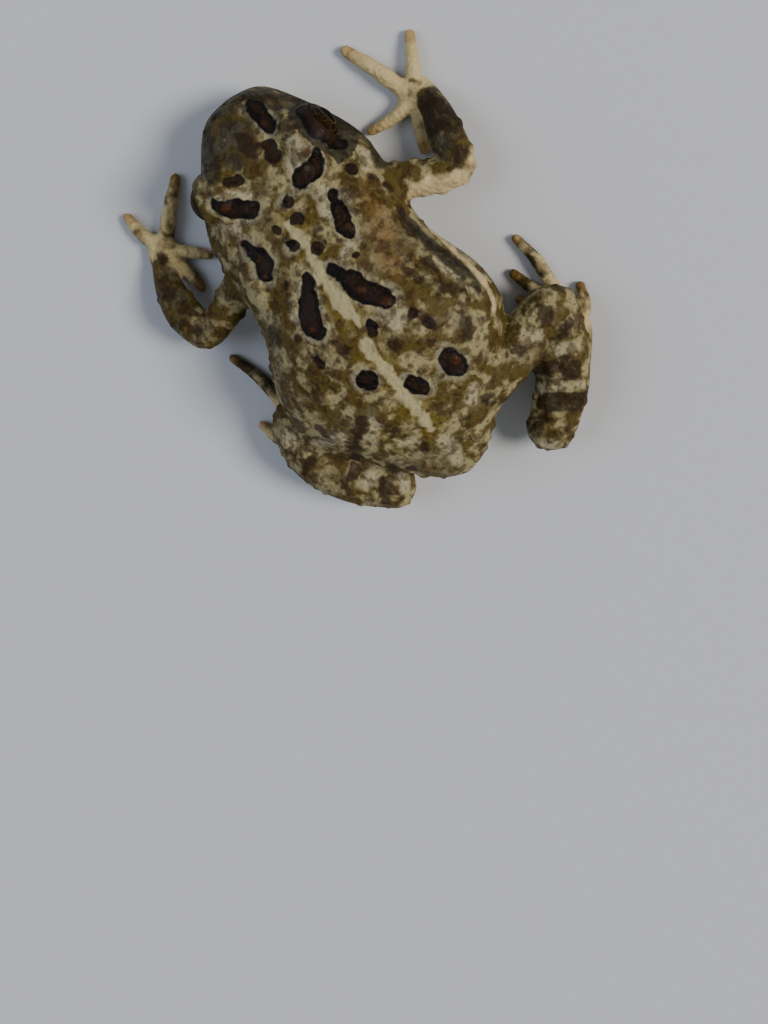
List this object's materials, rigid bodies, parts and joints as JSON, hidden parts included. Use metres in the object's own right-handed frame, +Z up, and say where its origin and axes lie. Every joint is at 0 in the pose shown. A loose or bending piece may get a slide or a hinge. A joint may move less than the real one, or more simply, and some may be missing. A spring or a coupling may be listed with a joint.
{
  "type": "canadian toad",
  "caption": "Small warty toad at rest, low and broad, with folded hind legs, spread fingers and a pale line down a blotched back.",
  "frame": {"origin": "on the floor, at the middle of the flat under the belly", "axes": "-Y towards the snout, +X towards the toad's left side, +Z up"},
  "size_m": [0.0239, 0.0298, 0.009],
  "materials": {
    "skin_back": "moist, warty, cream and olive with dark brown blotches",
    "skin_head": "moist, finely grained, olive brown with dark bars on the lids",
    "skin_throat": "moist, finely granular, cream",
    "skin_digits": "moist, smooth, yellowish tan",
    "eye": "wet, clear cornea over a dark iris flecked with gold"
  },
  "bodies": {
    "root": {"torso": "skin_back", "upper_arm_left": "skin_back", "upper_arm_right": "skin_back", "forearm_left": "skin_back", "forearm_right": "skin_back", "thigh_left": "skin_back", "thigh_right": "skin_back", "shank_left": "skin_back", "shank_right": "skin_back", "tarsus_left": "skin_back", "tarsus_right": "skin_back", "head": "skin_head", "lower_jaw": "skin_throat", "palm_left": "skin_digits", "palm_right": "skin_digits", "foot_left": "skin_digits", "foot_right": "skin_digits", "finger_1_left": "skin_digits", "finger_1_right": "skin_digits", "finger_2_left": "skin_digits", "finger_2_right": "skin_digits", "finger_3_left": "skin_digits", "finger_3_right": "skin_digits", "finger_4_left": "skin_digits", "finger_4_right": "skin_digits", "toe_1_left": "skin_digits", "toe_1_right": "skin_digits", "toe_2_left": "skin_digits", "toe_2_right": "skin_digits", "toe_3_left": "skin_digits", "toe_3_right": "skin_digits", "toe_4_left": "skin_digits", "toe_4_right": "skin_digits", "toe_5_left": "skin_digits", "toe_5_right": "skin_digits", "eye_left": "eye", "eye_right": "eye"}
  },
  "joints": []
}
